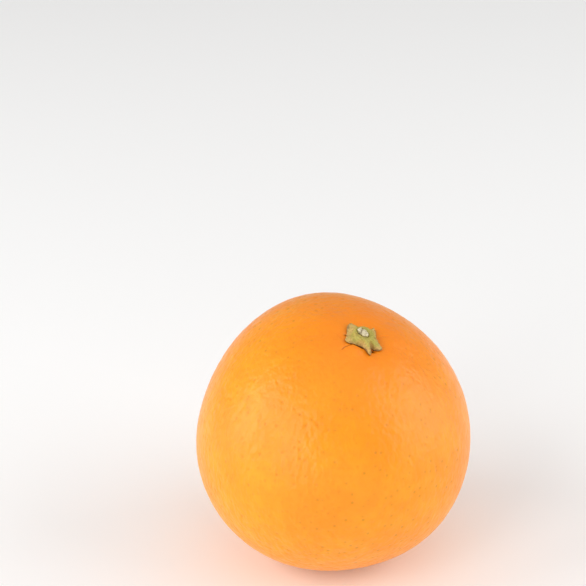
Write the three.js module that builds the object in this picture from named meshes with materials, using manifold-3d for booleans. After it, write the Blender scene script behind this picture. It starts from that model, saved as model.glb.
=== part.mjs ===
// A picked bitter orange, standing on the small flat spot that its own weight gives it.
// Millimetres, +Z up, -Y towards the viewer, origin on the ground at the middle of the fruit.
// Every piece is shaped about the stem axis, and one group leans that axis over as the fruit lies.
import * as THREE from 'three';
import { mergeVertices } from 'three/addons/utils/BufferGeometryUtils.js';
import Module from 'manifold-3d';

const wasm = await Module();
wasm.setup();

// Driving dimensions, in millimetres and degrees
const fruitRadius = 38;
const squatness = 0.99; // length along the stem axis over width
const leanAngle = 18.4; // stem axis from the vertical
const leanAzimuth = -48; // towards the viewer's right
const flatSpotRadius = 9;
const seatGap = 0.3; // room left between pieces that touch

// Rind features about the stem axis; angles are measured from the fruit's centre
const stemDimple = { depth: 1.3, reach: 12 };
const blossomDimple = { depth: 0.6, reach: 4.5 };
const furrows = { count: 6, depth: 0.35, middle: 20, spread: 9, turn: 25 };

// Gentle swells (+) and hollows (-) that take the fruit away from a true ball
const swells = [
  { polar: 50, azimuth: 113, height: 1.75, tightness: 9 },
  { polar: 87, azimuth: 166, height: -1.1, tightness: 10 },
  { polar: 130, azimuth: -66, height: -0.8, tightness: 10 },
  { polar: 127, azimuth: -146, height: 0.3, tightness: 8 },
  { polar: 100, azimuth: 75, height: -0.4, tightness: 9 },
  { polar: 108, azimuth: -25, height: 0.45, tightness: 10 },
  { polar: 7.6, azimuth: -118, height: 0.9, tightness: 500 }, // rind that presses up under the calyx
];

// Calyx: where its rim runs, through five unlike lobes around a raised button that cups the stub
const rim = [
  { azimuth: 18, reach: 4.0 },
  { azimuth: 42, reach: 4.5 },
  { azimuth: 60, reach: 5.4 },
  { azimuth: 72, reach: 4.1 },
  { azimuth: 108, reach: 4.3 },
  { azimuth: 126, reach: 5.8 },
  { azimuth: 144, reach: 5.5 },
  { azimuth: 168, reach: 4.8 },
  { azimuth: 192, reach: 5.3 },
  { azimuth: 216, reach: 4.9 },
  { azimuth: 234, reach: 3.8 },
  { azimuth: 270, reach: 3.6 },
  { azimuth: 288, reach: 6.2 },
  { azimuth: 300, reach: 4.3 },
  { azimuth: 312, reach: 4.2 },
  { azimuth: 330, reach: 5.7 },
  { azimuth: 342, reach: 5.0 },
];
const calyxReach = 4.8; // rim of the calyx before its lobes are drawn out
const edgeThickness = 0.6;
const button = { radius: 2.6, height: 2.4 };
const buttonShift = { reach: 1.2, azimuth: 133, easing: 3.6 }; // the button stands off the stem axis
const cup = { radius: 1.9, floor: 1.3 };
const stub = { radius: 1.55, standsProud: 0.5, rounding: 0.25 };

// Facets around the stem axis, and rows from the stem to the blossom end
const fruitFacets = { around: 60, rows: 32 };
const calyxFacets = 60;
const stubFacets = 20;

const up = new THREE.Vector3(0, 0, 1);
const rad = THREE.MathUtils.degToRad;

function fromStem(polarDegrees, azimuthDegrees) {
  const polar = rad(polarDegrees);
  const azimuth = rad(azimuthDegrees);
  return new THREE.Vector3(
    Math.sin(polar) * Math.cos(azimuth),
    Math.sin(polar) * Math.sin(azimuth),
    Math.cos(polar)
  );
}

// Distance of the rind from the fruit's centre, in a unit direction of the stem frame
function rindRadius(direction) {
  const polar = Math.acos(THREE.MathUtils.clamp(direction.z, -1, 1));
  const azimuth = Math.atan2(direction.y, direction.x);
  let radius = fruitRadius / Math.hypot(Math.sin(polar), Math.cos(polar) / squatness);
  const dimple = (polar / rad(stemDimple.reach)) ** 2;
  radius -= stemDimple.depth * (1 - dimple) * Math.exp(-dimple);
  const scar = ((Math.PI - polar) / rad(blossomDimple.reach)) ** 2;
  radius -= blossomDimple.depth * Math.exp(-scar);
  const ring = Math.exp(-(((polar - rad(furrows.middle)) / rad(furrows.spread)) ** 2));
  const groove = 0.5 + 0.5 * Math.cos(furrows.count * azimuth + rad(furrows.turn));
  radius -= furrows.depth * ring * groove ** 2;
  for (const swell of swells) {
    const near = direction.dot(fromStem(swell.polar, swell.azimuth)) - 1;
    radius += swell.height * Math.exp(swell.tightness * near);
  }
  return radius;
}

// Height of the rind above the fruit's centre at a point beside the stem
function rindHeight(x, y) {
  const point = new THREE.Vector3(x, y, fruitRadius);
  for (let step = 0; step < 8; step += 1) {
    const radius = rindRadius(point.clone().normalize());
    point.z = Math.sqrt(radius ** 2 - x ** 2 - y ** 2);
  }
  return point.z;
}

// LatheGeometry turns about Y; this stands its axis up along Z and joins its seam and poles
function lathe(profile, facets) {
  const geometry = new THREE.LatheGeometry(profile, facets);
  geometry.rotateX(Math.PI / 2);
  geometry.deleteAttribute('normal');
  geometry.deleteAttribute('uv');
  return mergeVertices(geometry, 1e-5);
}

function movePoints(geometry, move) {
  const points = geometry.attributes.position;
  const point = new THREE.Vector3();
  for (let i = 0; i < points.count; i += 1) {
    point.fromBufferAttribute(points, i);
    move(point);
    points.setXYZ(i, point.x, point.y, point.z);
  }
  return geometry;
}

function solidOf(geometry) {
  const merged = mergeVertices(geometry, 1e-5);
  return new wasm.Manifold(new wasm.Mesh({
    numProp: 3,
    vertProperties: new Float32Array(merged.attributes.position.array),
    triVerts: new Uint32Array(merged.index.array),
  }));
}

function geometryOf(solid) {
  const mesh = solid.getMesh();
  const geometry = new THREE.BufferGeometry();
  geometry.setAttribute('position', new THREE.BufferAttribute(mesh.vertProperties, 3));
  geometry.setIndex(new THREE.BufferAttribute(mesh.triVerts, 1));
  return geometry;
}

function surface(color, roughness) {
  return new THREE.MeshStandardMaterial({ color, roughness, metalness: 0 });
}

// The group that leans every piece from the upright stem frame to how the fruit lies
const leaning = new THREE.Group();
leaning.quaternion.setFromUnitVectors(up, fromStem(leanAngle, leanAzimuth));

// Half circle of rows from the blossom end to the stem, closer together at both ends
function fruitProfile() {
  const crowding = 0.09;
  const profile = [new THREE.Vector2(0, -1)];
  for (let row = 1; row < fruitFacets.rows; row += 1) {
    const share = row / fruitFacets.rows;
    const turned = Math.PI * (share - crowding * Math.sin(2 * Math.PI * share));
    profile.push(new THREE.Vector2(Math.sin(turned), -Math.cos(turned)));
  }
  profile.push(new THREE.Vector2(0, 1));
  return profile;
}

// The block under the ground line that leaves the flat spot, turned into the stem frame
function groundBlock() {
  const size = 4 * fruitRadius;
  const sag = fruitRadius - Math.sqrt(fruitRadius ** 2 - flatSpotRadius ** 2);
  const down = up.clone().negate().applyQuaternion(leaning.quaternion.clone().invert());
  const groundLevel = rindRadius(down) - sag;
  const block = new THREE.BoxGeometry(size, size, size).toNonIndexed();
  block.deleteAttribute('normal');
  block.deleteAttribute('uv');
  block.translate(0, 0, -groundLevel - size / 2);
  return block.applyQuaternion(leaning.quaternion.clone().invert());
}

function makeFruit() {
  const ball = movePoints(lathe(fruitProfile(), fruitFacets.around), (point) => {
    point.normalize();
    point.multiplyScalar(rindRadius(point));
  });
  const whole = solidOf(ball);
  const rested = whole.subtract(solidOf(groundBlock()));
  return new THREE.Mesh(geometryOf(rested), surface(0xf58b1c, 0.42));
}

// Reach of the calyx rim at an azimuth, along straight runs between the corners of the rim
function rimReach(azimuthDegrees) {
  const turned = THREE.MathUtils.euclideanModulo(azimuthDegrees - rim[0].azimuth, 360) + rim[0].azimuth;
  const after = rim.findIndex((corner) => corner.azimuth > turned);
  const start = after < 0 ? rim[rim.length - 1] : rim[after - 1];
  const end = after < 0 ? { azimuth: rim[0].azimuth + 360, reach: rim[0].reach } : rim[after];
  const share = (turned - start.azimuth) / (end.azimuth - start.azimuth);
  return THREE.MathUtils.lerp(start.reach, end.reach, share);
}

// Profile of the calyx as (distance from the axis, height above its seat), from the seat's middle
// out to the rim, up over the button and down into the cup
function calyxProfile() {
  const seat = [0, 1.4, button.radius, 3.8].map((reach) => [reach, 0]);
  const edge = [[calyxReach - 0.1, 0], [calyxReach, edgeThickness / 2], [calyxReach - 0.15, edgeThickness]];
  const slope = [[4.0, 0.8], [3.3, 1.3], [button.radius + 0.1, 1.95]];
  const crown = [[button.radius - 0.1, button.height], [cup.radius, button.height]];
  const bowl = [[cup.radius, cup.floor], [0, cup.floor]];
  return [...seat, ...edge, ...slope, ...crown, ...bowl].map(([x, y]) => new THREE.Vector2(x, y));
}

// How far the middle of the calyx stands off the stem axis, easing to nothing towards its rim
function offAxis(distance) {
  const share = 1 - Math.min(1, distance / buttonShift.easing) ** 2;
  return fromStem(90, buttonShift.azimuth).setZ(0).multiplyScalar(buttonShift.reach * share);
}

function makeCalyx() {
  const drawnOut = (point) => {
    const distance = Math.hypot(point.x, point.y);
    const height = point.z;
    if (distance > button.radius) {
      const reach = rimReach(THREE.MathUtils.radToDeg(Math.atan2(point.y, point.x)));
      const share = (distance - button.radius) / (calyxReach - button.radius);
      const drawn = button.radius + share * (reach - button.radius);
      point.x *= drawn / distance;
      point.y *= drawn / distance;
    }
    point.add(offAxis(distance));
    point.z = rindHeight(point.x, point.y) + seatGap + height;
  };
  return new THREE.Mesh(movePoints(lathe(calyxProfile(), calyxFacets), drawnOut), surface(0xa39a45, 0.7));
}

// Cut end of the stalk, standing in the calyx's cup
function makeStemStub() {
  const foot = cup.floor + seatGap;
  const top = button.height + stub.standsProud;
  const profile = [
    [0, foot],
    [stub.radius - 0.15, foot],
    [stub.radius, foot + 0.3],
    [stub.radius, top - stub.rounding],
    [stub.radius - stub.rounding, top],
    [stub.radius / 2, top - 0.1],
    [0, top - 0.15],
  ].map(([x, y]) => new THREE.Vector2(x, y));
  const geometry = lathe(profile, stubFacets);
  const beside = offAxis(cup.radius);
  geometry.translate(beside.x, beside.y, rindHeight(beside.x, beside.y) + seatGap);
  return new THREE.Mesh(geometry, surface(0xd8cba4, 0.85));
}

const pieces = { fruit: makeFruit(), calyx: makeCalyx(), stem_stub: makeStemStub() };
for (const [name, mesh] of Object.entries(pieces)) {
  mesh.name = name;
  leaning.add(mesh);
}

// Stand the fruit on the ground with the middle of its outline over the origin
const bitterOrange = new THREE.Group();
bitterOrange.add(leaning);
const outline = new THREE.Box3().setFromObject(bitterOrange, true);
const middle = outline.getCenter(new THREE.Vector3());
bitterOrange.position.set(-middle.x, -middle.y, -outline.min.z);

export default bitterOrange;
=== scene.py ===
import math

import bmesh
import bpy
from mathutils import Matrix, Vector, noise
from mathutils.bvhtree import BVHTree


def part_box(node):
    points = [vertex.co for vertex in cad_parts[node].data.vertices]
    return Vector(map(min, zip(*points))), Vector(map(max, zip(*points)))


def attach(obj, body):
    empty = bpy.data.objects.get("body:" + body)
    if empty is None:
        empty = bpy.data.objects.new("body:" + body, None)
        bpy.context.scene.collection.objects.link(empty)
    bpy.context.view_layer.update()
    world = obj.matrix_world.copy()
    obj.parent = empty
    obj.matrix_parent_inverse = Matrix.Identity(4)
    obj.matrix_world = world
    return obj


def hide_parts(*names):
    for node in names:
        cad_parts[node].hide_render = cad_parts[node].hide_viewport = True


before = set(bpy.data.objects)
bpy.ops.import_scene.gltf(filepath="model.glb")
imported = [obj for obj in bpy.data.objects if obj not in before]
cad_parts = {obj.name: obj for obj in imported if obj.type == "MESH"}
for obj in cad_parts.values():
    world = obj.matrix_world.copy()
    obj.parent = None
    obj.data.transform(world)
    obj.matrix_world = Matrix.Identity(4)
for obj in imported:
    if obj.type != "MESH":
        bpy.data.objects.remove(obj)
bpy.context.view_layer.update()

mm = 0.001


# One socket of a node tree, so that maths on it is written as plain expressions
class Wire:
    def __init__(self, nodes, socket):
        self.nodes = nodes
        self.socket = socket

    def __add__(self, other):
        return self.nodes.maths("ADD", self, other)

    def __sub__(self, other):
        return self.nodes.maths("SUBTRACT", self, other)

    def __rsub__(self, other):
        return self.nodes.maths("SUBTRACT", other, self)

    def __mul__(self, other):
        return self.nodes.maths("MULTIPLY", self, other)

    def __truediv__(self, other):
        return self.nodes.maths("DIVIDE", self, other)

    def __rtruediv__(self, other):
        return self.nodes.maths("DIVIDE", other, self)

    def __pow__(self, other):
        return self.nodes.maths("POWER", self, other)

    def __neg__(self):
        return self.nodes.maths("MULTIPLY", self, -1)

    __radd__ = __add__
    __rmul__ = __mul__

    def to(self, operation, *others):  # any other operation of the Math nodes
        return self.nodes.maths(operation, self, *others)

    def part(self, axis):
        return self.nodes.add("ShaderNodeSeparateXYZ", {}, [self], axis)

    def bell(self, middle, width):  # 1 at the middle, 0.37 one width away
        away = (self - middle) / width
        return (-(away * away)).to("EXPONENT")

    def ramp(self, low, high, start=0.0, end=1.0):  # soft step from start to end
        settings = {"interpolation_type": "SMOOTHSTEP"}
        values = {"Value": self, "From Min": low, "From Max": high, "To Min": start, "To Max": end}
        return self.nodes.add("ShaderNodeMapRange", settings, values)


# Adds nodes to one tree, a material's or a geometry's alike
class Nodes:
    def __init__(self, tree):
        self.tree = tree

    def add(self, kind, settings=None, values=(), output=0):
        node = self.tree.nodes.new(kind)
        count = len(self.tree.nodes)
        node.location = (200 * (count % 14), -260 * (count // 14))
        for name, value in (settings or {}).items():
            setattr(node, name, value)
        for key, value in values.items() if isinstance(values, dict) else enumerate(values):
            socket = node.inputs[key]
            if isinstance(value, Wire):
                self.tree.links.new(value.socket, socket)
            elif socket.type == "VECTOR" and isinstance(value, (int, float)):
                socket.default_value = (value,) * 3
            else:
                socket.default_value = value
        return Wire(self, node.outputs[output]) if len(node.outputs) else None

    def maths(self, operation, *values):
        onVectors = any(isinstance(value, Wire) and value.socket.type == "VECTOR" for value in values)
        kind = "ShaderNodeVectorMath" if onVectors else "ShaderNodeMath"
        isNumber = onVectors and operation in ("DOT_PRODUCT", "DISTANCE")
        return self.add(kind, {"operation": operation}, values, "Value" if isNumber else 0)

    def mix(self, share, first, second, blend="MIX"):  # two colours
        settings = {"data_type": "RGBA", "blend_type": blend}
        return self.add("ShaderNodeMix", settings, {0: share, 6: first, 7: second}, 2)

    def noise(self, at, size, detail=2.0, roughness=0.5):  # 0 to 1, with lumps of that size
        values = {"Vector": at, "Scale": 1 / size, "Detail": detail, "Roughness": roughness}
        return self.add("ShaderNodeTexNoise", {}, values)


# A unit direction, in degrees from the stem axis and around it
def fromStem(polar, azimuth):
    polar, azimuth = math.radians(polar), math.radians(azimuth)
    flat = math.sin(polar)
    return Vector((flat * math.cos(azimuth), flat * math.sin(azimuth), math.cos(polar)))


def addObject(name, mesh):
    made = bpy.data.objects.new(name, mesh)
    bpy.context.scene.collection.objects.link(made)
    return made


# How the fruit lies. Every piece is made about an upright stem axis, then leaned over
lie = {"lean": 18.4, "azimuth": -48.0}
leanTurn = Vector((0, 0, 1)).rotation_difference(fromStem(lie["lean"], lie["azimuth"]))
fruitLow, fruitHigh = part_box("fruit")
fruitMiddle = (fruitLow + fruitHigh) / 2
stubLow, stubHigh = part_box("stem_stub")
# The calyx's button and the stub stand off the stem axis; the calyx eases back to it at its rim
buttonShift = {"reach": 1.2 * mm, "azimuth": 133, "easing": 3.1 * mm, "stubReach": 0.87 * mm}
offStem = fromStem(90, buttonShift["azimuth"])
stemSpot = (stubLow + stubHigh) / 2 - leanTurn @ offStem * buttonShift["stubReach"]
stemFrame = Matrix.Translation(stemSpot) @ leanTurn.to_matrix().to_4x4()
print("frame: fruit from", [round(x, 4) for x in fruitLow], "to", [round(x, 4) for x in fruitHigh])


def newMaterial(name):
    made = bpy.data.materials.new(name)
    made.use_nodes = True
    made.node_tree.nodes.clear()
    return made, Nodes(made.node_tree)


# Floor, light and camera
studio = {
    "floorSize": 4.0,
    "floorColour": (0.96, 0.96, 0.96, 1),
    "floorGap": 0.1 * mm,  # kept under the fruit's flat spot
    "roomColour": (1.0, 0.99, 0.975, 1),
    "roomLight": 0.45,
    "lightReach": 1.0,
}
# Softboxes: which way they stand from the fruit, then power, width and height
softboxes = {
    "key near": ((-0.60, -0.80, 0.36), 3.8, 0.34, 1.10),
    "key far": ((-0.985, -0.17, 0.38), 6.2, 0.64, 1.10),
    "fill": ((1.0, -0.10, 0.38), 6.6, 1.00, 1.00),
    "low": ((-0.05, -1.0, 0.10), 0.9, 1.20, 0.40),
    "top": ((0.20, -0.20, 1.0), 1.6, 1.20, 1.20),
}
view = {
    "lens": 120.0,
    "pitch": 28.0,
    "distance": 0.541,
    "nearest": 0.01,
    "across": 0.0206,  # where the fruit stands in the frame, as slopes from the middle
    "down": 0.0713,
}


def addSoftbox(name, aim, power, width, height):
    lamp = bpy.data.lights.new(name, "AREA")
    lamp.shape = "RECTANGLE"
    lamp.size = width
    lamp.size_y = height
    lamp.energy = power
    made = addObject(name, lamp)
    made.location = fruitMiddle + Vector(aim).normalized() * studio["lightReach"]
    made.rotation_euler = (fruitMiddle - made.location).to_track_quat("-Z", "Y").to_euler()


def makeFloor():
    plane = bmesh.new()
    bmesh.ops.create_grid(plane, x_segments=1, y_segments=1, size=studio["floorSize"] / 2)
    bmesh.ops.translate(plane, verts=plane.verts, vec=(0, 0, -studio["floorGap"]))
    mesh = bpy.data.meshes.new("floor")
    plane.to_mesh(mesh)
    plane.free()
    paper, nodes = newMaterial("floor_paper")
    values = {"Base Color": studio["floorColour"], "Roughness": 0.9, "Specular IOR Level": 0.1}
    shader = nodes.add("ShaderNodeBsdfPrincipled", {}, values)
    nodes.add("ShaderNodeOutputMaterial", {}, {"Surface": shader})
    mesh.materials.append(paper)
    addObject("floor", mesh)


def makeRoom():
    room = bpy.data.worlds.new("pale_room")
    room.use_nodes = True
    room.node_tree.nodes.clear()
    nodes = Nodes(room.node_tree)
    values = {"Color": studio["roomColour"], "Strength": studio["roomLight"]}
    glow = nodes.add("ShaderNodeBackground", {}, values)
    nodes.add("ShaderNodeOutputWorld", {}, {"Surface": glow})
    bpy.context.scene.world = room
    bpy.context.scene.view_settings.view_transform = "Standard"


def makeCamera():
    pitch = math.radians(view["pitch"])
    right = Vector((1, 0, 0))
    ahead = Vector((0, math.cos(pitch), -math.sin(pitch)))
    up = Vector((0, math.sin(pitch), math.cos(pitch)))
    sight = (view["across"] * right - view["down"] * up + ahead).normalized()
    lens = bpy.data.cameras.new("camera")
    lens.lens = view["lens"]
    lens.clip_start = view["nearest"]
    made = addObject("camera", lens)
    made.location = fruitMiddle - sight * view["distance"]
    made.rotation_euler = ahead.to_track_quat("-Z", "Y").to_euler()
    bpy.context.scene.camera = made


makeFloor()
makeRoom()
for name, (aim, power, width, height) in softboxes.items():
    addSoftbox(name, aim, power, width, height)
makeCamera()
print("studio: floor, room,", len(softboxes), "softboxes and camera")


# Rind
rind = {
    "Radius": 38 * mm,
    "Squatness": 0.99,
    "Dimple depth": 1.3 * mm,
    "Dimple reach": math.radians(12),
    "Scar depth": 0.6 * mm,
    "Scar reach": math.radians(4.5),
    "Furrow count": 6.0,
    "Furrow depth": 0.35 * mm,
    "Furrow middle": math.radians(20),
    "Furrow spread": math.radians(9),
    "Furrow turn": math.radians(25),
    "Gland spacing": 1.5 * mm,
    "Gland depth": 0.06 * mm,
    "Pebble size": 2.2 * mm,
    "Pebble height": 0.18 * mm,
    "Wave size": 9.0 * mm,
    "Wave height": 0.12 * mm,
    "Rest softness": 0.35 * mm,
    "Lean": leanTurn.angle,
    "Lean axis": tuple(leanTurn.axis),
    "Box low": tuple(fruitLow),
    "Box high": tuple(fruitHigh),
}
rindMesh = {
    "grid": 114,
    "halvings": 2,  # how often the squares of the two patches are cut in four
    "stemPatch": 9.0 * mm,
    "scarPatch": 3.0 * mm,
}
glands = {
    "scatter": 0.85,
    "reach": 0.5,  # of a dent, in gland spacings
    "shallowShare": 0.45,  # of the glands, which are all as shallow as "shallowest" says
    "shallowest": 0.25,  # depth as a share of the deepest
}
# The rind is calmer round the stem
calmPatch = {"inner": math.radians(8), "outer": math.radians(24), "strength": 0.35}
creaseLine = {"easeIn": 1.0 * mm, "easeOut": 2.0 * mm, "wanderSize": 2.0 * mm, "wander": 0.8 * mm}

# Swells and hollows: degrees from the stem and around it, height, and tightness
rindSwells = [
    (50, 113, 1.75 * mm, 9),
    (87, 166, -1.1 * mm, 10),
    (130, -66, -0.8 * mm, 10),
    (127, -146, 0.3 * mm, 8),
    (100, 75, -0.4 * mm, 9),
    (108, -25, 0.45 * mm, 10),
    (7.6, -118, 0.95 * mm, 500),  # rind that presses up round the calyx
    (9.5, 160, 0.25 * mm, 300),
    (10, 5, 0.3 * mm, 260),
    (10.5, 90, 0.2 * mm, 300),
]
# Creases that run out from the calyx: azimuth, start, end, depth, half width and darkness, the shade
# painted into them
rindCreases = [
    (-140, 4.0 * mm, 9.2 * mm, 0.20 * mm, 0.32 * mm, 0.55),
    (25, 4.5 * mm, 8.5 * mm, 0.12 * mm, 0.35 * mm, 0.1),
    (95, 4.2 * mm, 7.0 * mm, 0.15 * mm, 0.3 * mm, 0.1),
]
# Pits at the calyx rim: azimuth, distance from the axis, depth, reach and darkness, the shade painted
# into them
rindPits = [
    (-56, 4.4 * mm, 0.9 * mm, 0.6 * mm, 1.0),
    (174, 5.0 * mm, 0.35 * mm, 0.5 * mm, 0.6),
]
# Fold under the calyx rim, where the rind presses up; its darkness is shade painted into it
rindFold = {
    "azimuth": -120,
    "distance": 3.5 * mm,
    "depth": 0.45 * mm,
    "halfWidth": 0.42 * mm,
    "darkness": 1.0,
    "ends": (0.80, 0.96),  # cosines from its middle at which it starts and is whole
}


# A ball of even squares about the stem axis, with finer ones at the stem and the blossom scar
def makeBall():
    work = bmesh.new()
    bmesh.ops.create_cube(work, size=2)
    bmesh.ops.subdivide_edges(work, edges=work.edges[:], cuts=rindMesh["grid"] - 1, use_grid_fill=True)
    for vert in work.verts:
        vert.co = Vector([math.tan(math.pi / 4 * x) for x in vert.co]).normalized()
    for halving in range(rindMesh["halvings"]):
        near = [edge for edge in work.edges if needsFiner(edge)]
        bmesh.ops.subdivide_edges(work, edges=near, cuts=1, use_grid_fill=True)
        for vert in work.verts:
            vert.co.normalize()
    mesh = bpy.data.meshes.new("fruit_rind")
    work.to_mesh(mesh)
    work.free()
    return addObject("fruit_rind", mesh)


def needsFiner(edge):
    middle = (edge.verts[0].co + edge.verts[1].co) / 2
    beside = math.hypot(middle.x, middle.y) * rind["Radius"]
    return beside < (rindMesh["stemPatch"] if middle.z > 0 else rindMesh["scarPatch"])


def newGeometryTree(name, sizes):
    tree = bpy.data.node_groups.new(name, "GeometryNodeTree")
    tree.interface.new_socket("Geometry", in_out="INPUT", socket_type="NodeSocketGeometry")
    tree.interface.new_socket("Geometry", in_out="OUTPUT", socket_type="NodeSocketGeometry")
    for key, value in sizes.items():
        kind = "NodeSocketVector" if isinstance(value, tuple) else "NodeSocketFloat"
        tree.interface.new_socket(key, in_out="INPUT", socket_type=kind)
    nodes = Nodes(tree)
    entry = tree.nodes.new("NodeGroupInput")
    return tree, nodes, {socket.name: Wire(nodes, socket) for socket in entry.outputs if socket.name}


def closeGeometryTree(nodes, geometry, finish):
    smooth = nodes.add("GeometryNodeSetShadeSmooth", {}, {"Geometry": geometry})
    solid = nodes.add("GeometryNodeRealizeInstances", {}, {"Geometry": smooth})
    dressed = nodes.add("GeometryNodeSetMaterial", {}, {"Geometry": solid, "Material": finish})
    nodes.add("NodeGroupOutput", {}, {"Geometry": dressed})


# Runs a tree on an object and leaves the result as its plain mesh
def runTree(target, tree, sizes):
    modifier = target.modifiers.new(tree.name, "NODES")
    modifier.node_group = tree
    for item in tree.interface.items_tree:
        if item.in_out == "INPUT" and item.name in sizes:
            modifier[item.identifier] = sizes[item.name]
    seen = target.evaluated_get(bpy.context.evaluated_depsgraph_get())
    made = bpy.data.meshes.new_from_object(seen)
    spent = target.data
    target.modifiers.remove(modifier)
    target.data = made
    bpy.data.meshes.remove(spent)
    made.name = target.name


# Distance of the rind from the fruit's centre, along unit directions about the stem axis
def rindRadius(size, along, polar):
    azimuth = along.part("Y").to("ARCTAN2", along.part("X"))
    flat = polar.to("SINE")
    tall = polar.to("COSINE") / size["Squatness"]
    radius = size["Radius"] / (flat * flat + tall * tall).to("SQRT")
    dimple = (polar / size["Dimple reach"]) ** 2
    radius -= size["Dimple depth"] * (1 - dimple) * (-dimple).to("EXPONENT")
    radius -= size["Scar depth"] * polar.bell(math.pi, size["Scar reach"])
    groove = ((azimuth * size["Furrow count"] + size["Furrow turn"]).to("COSINE") + 1) / 2
    ring = polar.bell(size["Furrow middle"], size["Furrow spread"])
    radius -= size["Furrow depth"] * groove ** 2 * ring
    for turn, around, height, tightness in rindSwells:
        near = along.to("DOT_PRODUCT", tuple(fromStem(turn, around))) - 1
        radius += (near * tightness).to("EXPONENT") * height
    return radius


# 1 in the line of a crease that runs out from the stem, 0 beside it and past its ends
def crease(spot, around, start, end, width):
    out = spot.to("DOT_PRODUCT", tuple(fromStem(90, around)))
    beside = spot.to("DOT_PRODUCT", tuple(fromStem(90, around + 90)))
    wander = spot.nodes.noise(spot, creaseLine["wanderSize"], 1.0) - 0.5
    line = (beside + wander * creaseLine["wander"]).bell(0, width)
    begun = out.ramp(start - creaseLine["easeIn"], start + creaseLine["easeIn"])
    return line * begun * out.ramp(end - creaseLine["easeOut"], end, 1, 0)


# Every crease, pit and fold round the calyx: how deep they make the rind here, and how much shade is
# painted into them
def rindFolds(size, along, polar):
    spot = along * size["Radius"]
    flat = spot * (1, 1, 0)
    marks = []
    for around, start, end, depth, width, darkness in rindCreases:
        marks.append((crease(spot, around, start, end, width), depth, darkness))
    for around, distance, depth, reach, darkness in rindPits:
        away = flat.to("DISTANCE", tuple(fromStem(90, around) * distance))
        marks.append((away.bell(0, reach), depth, darkness))
    facing = along.to("DOT_PRODUCT", tuple(fromStem(90, rindFold["azimuth"]))) / polar.to("SINE")
    ring = (polar * size["Radius"]).bell(rindFold["distance"], rindFold["halfWidth"])
    marks.append((ring * facing.ramp(*rindFold["ends"]), rindFold["depth"], rindFold["darkness"]))
    deep = sum(mark * depth for mark, depth, darkness in marks)
    dark = sum(mark * darkness for mark, depth, darkness in marks)
    return deep, dark


# Oil glands: dents of mixed depths where the surface passes near the points of a solid scatter
def glandDents(nodes, at, spacing):
    values = {"Vector": at, "Scale": 1 / spacing, "Randomness": glands["scatter"]}
    away = nodes.add("ShaderNodeTexVoronoi", {}, values, "Distance")
    chance = nodes.add("ShaderNodeTexVoronoi", {}, values, "Color").part("X")
    depth = chance.ramp(glands["shallowShare"], 1.0, glands["shallowest"], 1.0)
    return away.ramp(0, glands["reach"], 1, 0) * depth


# How strong the fine relief is here, up to 1
def liveliness(polar):
    return polar.ramp(calmPatch["inner"], calmPatch["outer"], calmPatch["strength"], 1.0)


def buildRindTree(skin):
    tree, nodes, size = newGeometryTree("rind rule", rind)
    along = nodes.add("GeometryNodeInputPosition").to("NORMALIZE")
    polar = along.part("Z").to("ARCCOSINE")
    deep, shadeInFolds = rindFolds(size, along, polar)
    grown = along * (rindRadius(size, along, polar) - deep)
    values = {"Vector": grown, "Axis": size["Lean axis"], "Angle": size["Lean"]}
    leaned = nodes.add("ShaderNodeVectorRotate", {"rotation_type": "AXIS_ANGLE"}, values)
    values = {"Geometry": size["Geometry"], "Name": "fromStem", "Value": polar}
    tagged = nodes.add("GeometryNodeStoreNamedAttribute", {"data_type": "FLOAT"}, values)
    # How much shade is painted into the creases, pits and fold
    values = {"Geometry": tagged, "Name": "shadeInFolds", "Value": shadeInFolds}
    tagged = nodes.add("GeometryNodeStoreNamedAttribute", {"data_type": "FLOAT"}, values)
    shaped = nodes.add("GeometryNodeSetPosition", {}, {"Geometry": tagged, "Position": leaned})

    # Level with the solid's box in X and Y, and with its top in Z
    low = nodes.add("GeometryNodeBoundBox", {}, [shaped], "Min")
    high = nodes.add("GeometryNodeBoundBox", {}, [shaped], "Max")
    middle = (size["Box low"] + size["Box high"] - low - high) * 0.5
    rise = (size["Box high"] - high).part("Z")
    move = nodes.add("ShaderNodeCombineXYZ", {}, [middle.part("X"), middle.part("Y"), rise])
    placed = nodes.add("GeometryNodeSetPosition", {}, {"Geometry": shaped, "Offset": move})

    # Waves, pebbles and glands along the normal, calmer round the stem
    at = nodes.add("GeometryNodeInputPosition")
    polar = nodes.add("GeometryNodeInputNamedAttribute", {}, {"Name": "fromStem"})
    lively = liveliness(polar)
    height = (nodes.noise(at, size["Wave size"], 1.0) - 0.5) * size["Wave height"]
    height += (nodes.noise(at, size["Pebble size"], 2.0) - 0.5) * size["Pebble height"] * lively
    height -= glandDents(nodes, at, size["Gland spacing"]) * size["Gland depth"] * lively
    offset = nodes.add("GeometryNodeInputNormal") * height
    pitted = nodes.add("GeometryNodeSetPosition", {}, {"Geometry": placed, "Offset": offset})

    # The flat spot the fruit rests on
    at = nodes.add("GeometryNodeInputPosition")
    rested = at.part("Z").to("SMOOTH_MAX", 0.0, size["Rest softness"])
    stood = nodes.add("ShaderNodeCombineXYZ", {}, [at.part("X"), at.part("Y"), rested])
    flat = nodes.add("GeometryNodeSetPosition", {}, {"Geometry": pitted, "Position": stood})
    closeGeometryTree(nodes, flat, skin)
    return tree


def closeMaterial(nodes, height, values):
    values["Normal"] = nodes.add("ShaderNodeBump", {}, {"Distance": 1.0, "Height": height})
    shader = nodes.add("ShaderNodeBsdfPrincipled", {}, values)
    nodes.add("ShaderNodeOutputMaterial", {}, {"Surface": shader})


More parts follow.
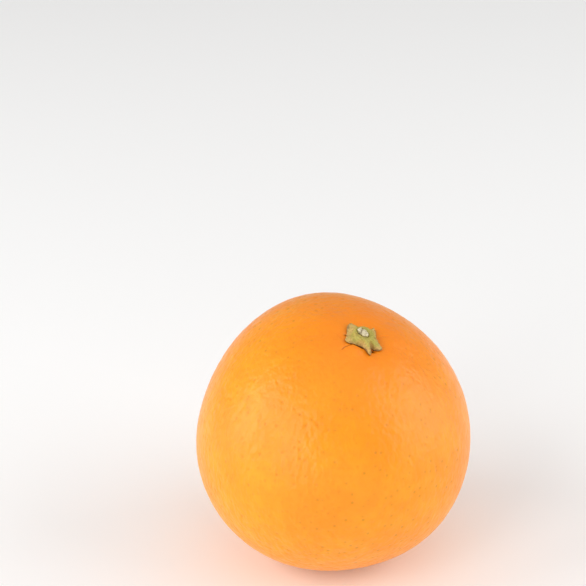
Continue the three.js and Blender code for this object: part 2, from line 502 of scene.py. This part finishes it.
# Colours, how much of each is mixed in and from where, in radians from the stem, and fine relief
rindSkin = {
    "ripe": (0.95, 0.295, 0.006, 1),
    "deep": (0.93, 0.245, 0.004, 1),
    "deepShare": 0.35,
    "yellow": (0.96, 0.345, 0.008, 1),
    "yellowShare": 0.8,
    # yellower from here towards the blossom end: painted light bounced up from the floor
    "bounceLightFrom": 1.4,
    "bounceLightTo": 2.2,
    "gland": (0.50, 0.20, 0.003, 1),
    "glandShare": 0.58,
    # deeper orange over the crown: painted shade
    "crownShade": (0.93, 0.245, 0.006, 1),
    "crownShadeShare": 0.85,
    "crownShadeFrom": 0.15,
    "crownShadeTo": 0.75,
    # dark brown in the creases, pits and fold round the calyx: painted shade
    "foldShadeColour": (0.32, 0.10, 0.005, 1),
    "foldShadeShare": 0.9,
    "scarBrown": (0.20, 0.09, 0.03, 1),
    "scarOuter": math.pi - math.radians(2.6),
    "scarInner": math.pi - math.radians(1.2),
    "coarseFrom": 1.2,  # the rind is rougher towards the blossom end
    "coarseTo": 2.4,
    "coarsest": 1.6,
    "patchSize": 16 * mm,
    "mottleSize": 3.2 * mm,
    "poreDepth": 0.06 * mm,
    "wormSize": 1.35 * mm,
    "wormStretch": (1.0, 1.0, 0.6),  # the low relief runs longer up and down
    "wormHeight": 0.28 * mm,
    "grainSize": 0.4 * mm,
    "grainDepth": 0.035 * mm,
}


def makeRindSkin():
    made, nodes = newMaterial("rind_skin")
    at = nodes.add("ShaderNodeTexCoord", output="Object")
    polar = nodes.add("ShaderNodeAttribute", {"attribute_name": "fromStem"}, output="Fac")
    shadeInFolds = nodes.add("ShaderNodeAttribute", {"attribute_name": "shadeInFolds"}, output="Fac")
    lively = liveliness(polar)
    dents = glandDents(nodes, at, rind["Gland spacing"])
    patches = nodes.noise(at, rindSkin["patchSize"], 2.0).ramp(0.35, 0.68)
    mottle = nodes.noise(at, rindSkin["mottleSize"], 3.0).ramp(0.3, 0.7)
    worms = nodes.noise(at * rindSkin["wormStretch"], rindSkin["wormSize"], 1.0, 0.4)
    colour = nodes.mix(patches * rindSkin["yellowShare"], rindSkin["ripe"], rindSkin["yellow"])
    # Yellower towards the blossom end: painted light bounced up from below
    paintedBounceLight = polar.ramp(rindSkin["bounceLightFrom"], rindSkin["bounceLightTo"])
    colour = nodes.mix(paintedBounceLight, colour, rindSkin["yellow"])
    colour = nodes.mix(mottle * rindSkin["deepShare"], colour, rindSkin["deep"])
    colour = nodes.mix(dents * lively * rindSkin["glandShare"], colour, rindSkin["gland"])
    # Deeper orange over the crown: painted shade
    crown = polar.ramp(rindSkin["crownShadeFrom"], rindSkin["crownShadeTo"], rindSkin["crownShadeShare"], 0)
    colour = nodes.mix(crown, colour, rindSkin["crownShade"])
    # Dark brown in the creases, pits and fold: painted shade
    colour = nodes.mix(shadeInFolds.ramp(0.15, 0.8, 0, rindSkin["foldShadeShare"]), colour, rindSkin["foldShadeColour"])
    scar = polar.ramp(rindSkin["scarOuter"], rindSkin["scarInner"])
    colour = nodes.mix(scar, colour, rindSkin["scarBrown"])
    coarse = lively * polar.ramp(rindSkin["coarseFrom"], rindSkin["coarseTo"], 1.0, rindSkin["coarsest"])
    height = worms * rindSkin["wormHeight"] * coarse - dents * coarse * rindSkin["poreDepth"]
    height += nodes.noise(at, rindSkin["grainSize"], 2.0) * rindSkin["grainDepth"]
    closeMaterial(nodes, height, {
        "Base Color": colour,
        "Roughness": 0.31 + mottle * 0.06 + dents * 0.10,
        "Specular IOR Level": 0.37,
        "Subsurface Weight": 0.12,
        "Subsurface Radius": (1.0, 0.35, 0.10),
        "Subsurface Scale": 2.0 * mm,
    })
    return made


def makeFruit():
    ball = makeBall()
    runTree(ball, buildRindTree(makeRindSkin()), rind)
    return ball


fruit = makeFruit()
print("rind:", len(fruit.data.polygons), "faces,", len(fruit.data.vertices), "points")


# Calyx: lobes round a raised button that cups the cut stalk. Heights are above the rind
calyx = {
    "segments": 240,
    "notch": 3.6 * mm,
    "tip": 6.0 * mm,
    "crown": 2.6 * mm,
    "height": 2.35 * mm,
    "brimDrop": 0.15 * mm,
    "cupGap": 0.15 * mm,
    "cupFloor": 2.0 * mm,
    "sunk": 0.10 * mm,
    "rimThickness": 0.45 * mm,
    "rimBulge": 0.01,
    "tipLift": 0.30 * mm,
    "ridge": 0.35 * mm,
    "hollow": 1.7,  # how steeply the slope falls away from the button
    "wobble": 0.04,
    "peakWobble": 0.1,
}
# How far out the materials take each part of the calyx to be; over 1 is under the rim, where the calyx
# skin paints shade
calyxOut = {
    "under": 1.15,
    "edge": 1.08,
    "rim": 1.0,
    "crownOuter": 0.45,
    "crownInner": 0.35,
    "wall": 0.3,
    "floor": 0.2,
}
# Where the rim runs: azimuth and distance from the axis, through five unlike lobes
calyxRim = [
    (17, 3.6), (36, 4.1), (52, 4.9), (60, 5.4), (66, 4.4), (73, 4.0), (90, 4.1), (110, 4.3),
    (120, 4.9), (127, 5.9), (135, 5.9), (148, 5.5), (164, 4.8), (178, 4.5), (191, 4.9), (199, 5.4),
    (208, 5.3), (217, 4.9), (226, 4.2), (235, 3.4), (250, 3.1), (266, 3.2), (277, 4.2), (285, 6.3),
    (293, 5.2), (297, 3.9), (303, 3.5), (310, 3.6), (314, 5.1), (321, 5.5), (330, 5.6), (342, 4.6),
    (357, 3.9),
]
# Dark marks on the calyx, painted shade along the lower-left rim, in the notches and by the rind's pits,
# and dark spots: azimuth, distance from the axis, reach and darkness
calyxShadeAndSpots = [
    (222, 4.6 * mm, 0.55 * mm, 0.9),
    (238, 3.6 * mm, 0.45 * mm, 0.9),
    (252, 3.3 * mm, 0.35 * mm, 0.7),
    (304, 3.8 * mm, 0.50 * mm, 1.0),
    (350, 2.9 * mm, 0.30 * mm, 0.6),
    (208, 2.2 * mm, 0.35 * mm, 0.5),
    (180, 4.7 * mm, 0.40 * mm, 0.7),
    (131, 6.1 * mm, 0.50 * mm, 0.4),
]
calyxRough = {
    "Grain size": 1.1 * mm,
    "Grain height": 0.30 * mm,
    "Fine size": 0.40 * mm,
    "Fine height": 0.10 * mm,
}
# Cut stalk: an oval end with a ridge and a groove across it
stub = {
    "segments": 120,
    "radius": 1.42 * mm,
    "oval": 0.19,
    "ovalAzimuth": 141,
    "wobble": 0.14,
    "tilt": -0.08,
    "foot": 1.95 * mm,
    "top": 2.68 * mm,
    "footEdge": 0.1 * mm,
    "rounding": 0.30 * mm,
    "faceRings": 13,
    "faceMiddle": 0.04,  # the smallest of them, as a share of the radius
    "ridgeAzimuth": 168,
    "ridgeOut": 1.0 * mm,
    "ridgeHeight": 0.28 * mm,
    "ridgeWidth": 0.26 * mm,
    "grooveOut": 0.52 * mm,
    "grooveDepth": 0.35 * mm,
    "grooveWidth": 0.182 * mm,
}
# Dark marks on the cut end, in the same way
stubMarks = [
    (168, 0.50 * mm, 0.20 * mm, 0.5),
    (120, 0.75 * mm, 0.25 * mm, 0.8),
    (216, 0.80 * mm, 0.25 * mm, 0.6),
    (216, 1.35 * mm, 0.35 * mm, 0.9),
    (20, 0.60 * mm, 0.18 * mm, 0.4),
]
stubRough = {
    "Grain size": 0.7 * mm,
    "Grain height": 0.20 * mm,
    "Fine size": 0.22 * mm,
    "Fine height": 0.07 * mm,
}


def bump(value, middle, width):
    return math.exp(-(((value - middle) / width) ** 2))


def roundNoise(azimuth, pace, seed):  # -1 to 1, the same at 0 and 360 degrees
    turned = math.radians(azimuth)
    return noise.noise((pace * math.cos(turned), pace * math.sin(turned), seed))


# How far the stub reaches from its middle at an azimuth
def stubReach(azimuth):
    drawn = math.radians(azimuth - stub["ovalAzimuth"])
    uneven = stub["oval"] * math.cos(2 * drawn) + stub["wobble"] * roundNoise(azimuth, 2.2, 1.4)
    return stub["radius"] * (1 + uneven)


# How far the rim reaches at an azimuth, and how much of a lobe that is (0 in a notch, 1 at a tip)
def rimAt(azimuth):
    first, last = calyxRim[0], calyxRim[-1]
    looped = [(last[0] - 360, last[1])] + calyxRim + [(first[0] + 360, first[1])]
    for (one, near), (two, far) in zip(looped, looped[1:]):
        if one <= azimuth < two:
            reach = (near + (far - near) * (azimuth - one) / (two - one)) * mm
            break
    lobe = (reach - calyx["notch"]) / (calyx["tip"] - calyx["notch"])
    return max(0.0, min(1.0, lobe)), reach * (1 + calyx["wobble"] * roundNoise(azimuth, 7.5, 3.1))


# Rings of points round the stem axis, from one end to the other, closed by a point at each end.
# Materials read each point's share of the way out from the axis, and the marks it lies in
def makeTurned(name, segments, rings, shape, place, marks):
    work = bmesh.new()
    outward = work.verts.layers.float.new("outward")
    marked = work.verts.layers.float.new("marked")
    spots = [(fromStem(90, azimuth) * distance, reach, dark) for azimuth, distance, reach, dark in marks]
    loops = []
    for ring in rings:
        loop = []
        for i in range(segments):
            azimuth = 360 * i / segments
            distance, height = shape(ring, azimuth)
            flat = fromStem(90, azimuth) * distance
            vert = work.verts.new(place(flat, height))
            vert[outward] = ring[0]
            shades = [dark * bump((flat - spot).length, 0, reach) for spot, reach, dark in spots]
            vert[marked] = max(shades)
            loop.append(vert)
        loops.append(loop)
    for one, two in zip(loops, loops[1:]):
        for i in range(segments):
            work.faces.new((one[i - 1], one[i], two[i], two[i - 1]))
    for loop in (loops[0], loops[-1]):
        middle = work.verts.new(sum((vert.co for vert in loop), Vector()) / segments)
        for i in range(segments):
            work.faces.new((loop[i], loop[i - 1], middle))
    bmesh.ops.recalc_face_normals(work, faces=work.faces)
    mesh = bpy.data.meshes.new(name)
    work.to_mesh(mesh)
    work.free()
    return addObject(name, mesh)


# Roughens dry tissue along its normals with coarse and fine grain
def buildRoughTree(name, finish, sizes):
    tree, nodes, size = newGeometryTree(name, sizes)
    at = nodes.add("GeometryNodeInputPosition")
    height = (nodes.noise(at, size["Grain size"], 1.0) - 0.5) * size["Grain height"]
    height += (nodes.noise(at, size["Fine size"], 2.0) - 0.5) * size["Fine height"]
    offset = nodes.add("GeometryNodeInputNormal") * height
    rough = nodes.add("GeometryNodeSetPosition", {}, {"Geometry": size["Geometry"], "Offset": offset})
    closeGeometryTree(nodes, rough, finish)
    return tree


rindSurface = BVHTree.FromObject(fruit, bpy.context.evaluated_depsgraph_get())
stemUp = leanTurn @ Vector((0, 0, 1))
clearOfRind = 10 * mm


# A point beside the stem axis, at a height above the rind under it
def onSeat(flat, height):
    above = stemFrame @ (flat + Vector((0, 0, clearOfRind)))
    return rindSurface.ray_cast(above, -stemUp)[0] + stemUp * height


def onCalyx(flat, height):
    share = 1 - min(1, flat.length / buttonShift["easing"]) ** 2
    return onSeat(flat + offStem * buttonShift["reach"] * share, height)


# Rings as (how far out the materials take them to be, part of the calyx, how far along that part)
def calyxRings():
    rim, outer, inner = calyxOut["rim"], calyxOut["crownOuter"], calyxOut["crownInner"]
    rings = [(calyxOut["under"], "under", x) for x in (0.05, 0.25, 0.45, 0.6, 0.7, 0.8, 0.9, 0.97)]
    rings += [(calyxOut["under"], "rim", 0.0), (calyxOut["edge"], "rim", 0.5), (rim, "rim", 1.0)]
    rings += [(outer + (rim - outer) * x, "slope", x) for x in [1 - i / 22 for i in range(23)]]
    rings += [(outer + (inner - outer) * i / 8, "crown", i / 8) for i in range(1, 9)]
    rings += [(calyxOut["wall"], "wall", i / 2) for i in range(1, 3)]
    rings += [(calyxOut["floor"] * x, "floor", x) for x in (0.9, 0.6, 0.3, 0.1)]
    return rings


# Distance from the axis and height above the rind
def calyxShape(ring, azimuth):
    part, along = ring[1:]
    lobe, reach = rimAt(azimuth)
    cup = stubReach(azimuth) + calyx["cupGap"]
    crown = calyx["crown"] * (1 + calyx["wobble"] * roundNoise(azimuth, 1.5, 8.7))
    peak = calyx["height"] * (1 + calyx["peakWobble"] * roundNoise(azimuth, 1.2, 5.2))
    brim = peak - calyx["brimDrop"]
    lift = calyx["tipLift"] * lobe ** 2
    edge = lift + calyx["rimThickness"]
    if part == "under":
        return reach * along, lift * along ** 6 - calyx["sunk"]
    if part == "rim":
        return reach * (1 + calyx["rimBulge"] * along), lift + calyx["rimThickness"] * (0.3 + 0.4 * along)
    if part == "slope":
        height = edge + (brim - edge) * (1 - along) ** calyx["hollow"]
        height += calyx["ridge"] * lobe ** 3 * math.sin(math.pi * along)
        return crown + (reach * (1 - calyx["rimBulge"]) - crown) * along, height
    if part == "crown":
        return crown + (cup - crown) * along, peak - calyx["brimDrop"] * (1 - 2 * along) ** 2
    if part == "wall":
        return cup, brim + (calyx["cupFloor"] - brim) * along
    return cup * along, calyx["cupFloor"]


# Colours, how much of each is mixed in and how far out it starts and is full, and fine relief
calyxSkin = {
    "olive": (0.52, 0.40, 0.075, 1),
    "green": (0.43, 0.38, 0.07, 1),
    "straw": (0.62, 0.41, 0.12, 1),
    "strawBand": (0.53, 0.90),
    "brown": (0.22, 0.095, 0.018, 1),
    "brownBand": (0.92, 1.08),
    "brownShare": 0.7,
    "speckShare": 0.35,
    # brown in the cup round the stalk: painted shade
    "cupShadeBand": (0.22, 0.32),
    "cupShadeShare": 0.2,
    "mark": (0.17, 0.07, 0.010, 1),
    # dark under the rim and at the foot of its wall: painted shade
    "dark": (0.13, 0.052, 0.008, 1),
    "underRimShadeBand": (1.02, 1.12),
    "bandWander": 0.25,
    "patchSize": 1.6 * mm,
    "speckSize": 0.35 * mm,
    "grainSize": 0.18 * mm,
    "grainDepth": 0.05 * mm,
}


def makeCalyxSkin():
    made, nodes = newMaterial("calyx_tissue")
    at = nodes.add("ShaderNodeTexCoord", output="Object")
    outward = nodes.add("ShaderNodeAttribute", {"attribute_name": "outward"}, output="Fac")
    marked = nodes.add("ShaderNodeAttribute", {"attribute_name": "marked"}, output="Fac")
    patches = nodes.noise(at, calyxSkin["patchSize"], 3.0).ramp(0.35, 0.65)
    specks = nodes.noise(at, calyxSkin["speckSize"], 3.0).ramp(0.42, 0.72)
    wandering = outward + (patches - 0.5) * calyxSkin["bandWander"]
    edge = wandering.ramp(*calyxSkin["brownBand"]) * calyxSkin["brownShare"]
    # Brown in the cup round the stalk: painted shade
    cup = outward.ramp(*calyxSkin["cupShadeBand"], calyxSkin["cupShadeShare"], 0)
    colour = nodes.mix(patches, calyxSkin["green"], calyxSkin["olive"])
    colour = nodes.mix(wandering.ramp(*calyxSkin["strawBand"]), colour, calyxSkin["straw"])
    colour = nodes.mix(edge, colour, calyxSkin["brown"])
    # Dark marks: painted shade at the lower-left rim and in the notches, and dark spots
    colour = nodes.mix(marked * (0.7 + patches * 0.3), colour, calyxSkin["mark"])
    # Dark under the rim and at the foot of its wall: painted shade
    colour = nodes.mix(outward.ramp(*calyxSkin["underRimShadeBand"]), colour, calyxSkin["dark"])
    colour = nodes.mix(specks * calyxSkin["speckShare"], colour, calyxSkin["brown"])
    colour = nodes.mix(cup, colour, calyxSkin["brown"])
    height = nodes.noise(at, calyxSkin["grainSize"], 3.0) * calyxSkin["grainDepth"]
    height -= specks * calyxSkin["grainDepth"]
    closeMaterial(nodes, height, {
        "Base Color": colour,
        "Roughness": 0.62 + specks * 0.2,
        "Subsurface Weight": 0.05,
        "Subsurface Radius": (1.0, 0.6, 0.2),
        "Subsurface Scale": 0.6 * mm,
    })
    return made


# Rings as (share of the way out, distance as a share of the radius, height)
def stubRings():
    low, high = stub["foot"] + stub["footEdge"], stub["top"] - stub["rounding"]
    rings = [(1.0, 0.5, stub["foot"]), (1.0, 0.93, stub["foot"])]
    rings += [(1.0, 1.0, low + (high - low) * i / 4) for i in range(4)]
    for turned in (0, 22, 45, 68, 90):
        inward = stub["rounding"] / stub["radius"] * (1 - math.cos(math.radians(turned)))
        down = stub["rounding"] * (1 - math.sin(math.radians(turned)))
        rings.append((1 - inward, 1 - inward, stub["top"] - down))
    faceEdge = 1 - stub["rounding"] / stub["radius"]
    for i in range(1, stub["faceRings"] + 1):
        share = faceEdge + (stub["faceMiddle"] - faceEdge) * i / stub["faceRings"]
        rings.append((share, share, stub["top"]))
    return rings


# Distance from the stub's own axis and height above the rind under it
def stubShape(ring, azimuth):
    share, height = ring[1:]
    distance = stubReach(azimuth) * share
    out = distance * math.cos(math.radians(azimuth - stub["ridgeAzimuth"]))
    onTop = max(0.0, (height - stub["foot"]) / (stub["top"] - stub["foot"])) ** 4
    height += onTop * stub["ridgeHeight"] * bump(out, stub["ridgeOut"], stub["ridgeWidth"])
    height -= onTop * stub["grooveDepth"] * bump(out, stub["grooveOut"], stub["grooveWidth"])
    height -= onTop * stub["tilt"] * out
    return distance, height


def onStub(flat, height):
    return stubSeat + leanTurn @ (flat + Vector((0, 0, height)))


stubSkin = {
    "pith": (0.80, 0.71, 0.48, 1),
    "wood": (0.50, 0.40, 0.22, 1),
    "fibreShare": 0.6,
    "ringAt": 0.62,  # a ring of darker wood, as shares of the way out
    "ringWidth": 0.09,
    "ringShare": 0.5,
    "bark": (0.42, 0.34, 0.12, 1),
    "barkFrom": 0.88,
    "barkShare": 0.8,
    "dark": (0.10, 0.055, 0.02, 1),
    "spotShare": 0.4,
    "markShare": 0.8,
    "fibreSize": 0.22 * mm,
    "spotSize": 0.5 * mm,
    "grainDepth": 0.05 * mm,
}


def makeStubSkin():
    made, nodes = newMaterial("cut_stalk")
    at = nodes.add("ShaderNodeTexCoord", output="Object")
    outward = nodes.add("ShaderNodeAttribute", {"attribute_name": "outward"}, output="Fac")
    marked = nodes.add("ShaderNodeAttribute", {"attribute_name": "marked"}, output="Fac")
    fibres = nodes.noise(at, stubSkin["fibreSize"], 3.0).ramp(0.35, 0.7)
    spots = nodes.noise(at, stubSkin["spotSize"], 2.0).ramp(0.58, 0.72)
    ring = outward.bell(stubSkin["ringAt"], stubSkin["ringWidth"])
    outer = outward.ramp(stubSkin["barkFrom"], 1.0)
    colour = nodes.mix(fibres * stubSkin["fibreShare"], stubSkin["pith"], stubSkin["wood"])
    colour = nodes.mix(ring * stubSkin["ringShare"], colour, stubSkin["wood"])
    colour = nodes.mix(outer * stubSkin["barkShare"], colour, stubSkin["bark"])
    colour = nodes.mix(spots * stubSkin["spotShare"], colour, stubSkin["dark"])
    colour = nodes.mix(marked * stubSkin["markShare"], colour, stubSkin["dark"])
    height = (fibres - spots * 2) * stubSkin["grainDepth"]
    closeMaterial(nodes, height, {"Base Color": colour, "Roughness": 0.8})
    return made


def makeCalyx():
    made = makeTurned("calyx_star", calyx["segments"], calyxRings(), calyxShape, onCalyx, calyxShadeAndSpots)
    runTree(made, buildRoughTree("calyx rule", makeCalyxSkin(), calyxRough), calyxRough)
    return made


def makeStub():
    made = makeTurned("cut_stalk", stub["segments"], stubRings(), stubShape, onStub, stubMarks)
    runTree(made, buildRoughTree("stalk rule", makeStubSkin(), stubRough), stubRough)
    return made


star = makeCalyx()
stubSeat = onSeat(offStem * buttonShift["stubReach"], 0)
stalk = makeStub()
print("calyx:", len(star.data.polygons), "faces; stalk:", len(stalk.data.polygons), "faces")

pieces = [(fruit, "fruit", "rind"), (star, "calyx", "calyx"), (stalk, "stem_stub", "cut_stem")]
for piece, node, slot in pieces:
    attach(piece, "root")
    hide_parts(node)
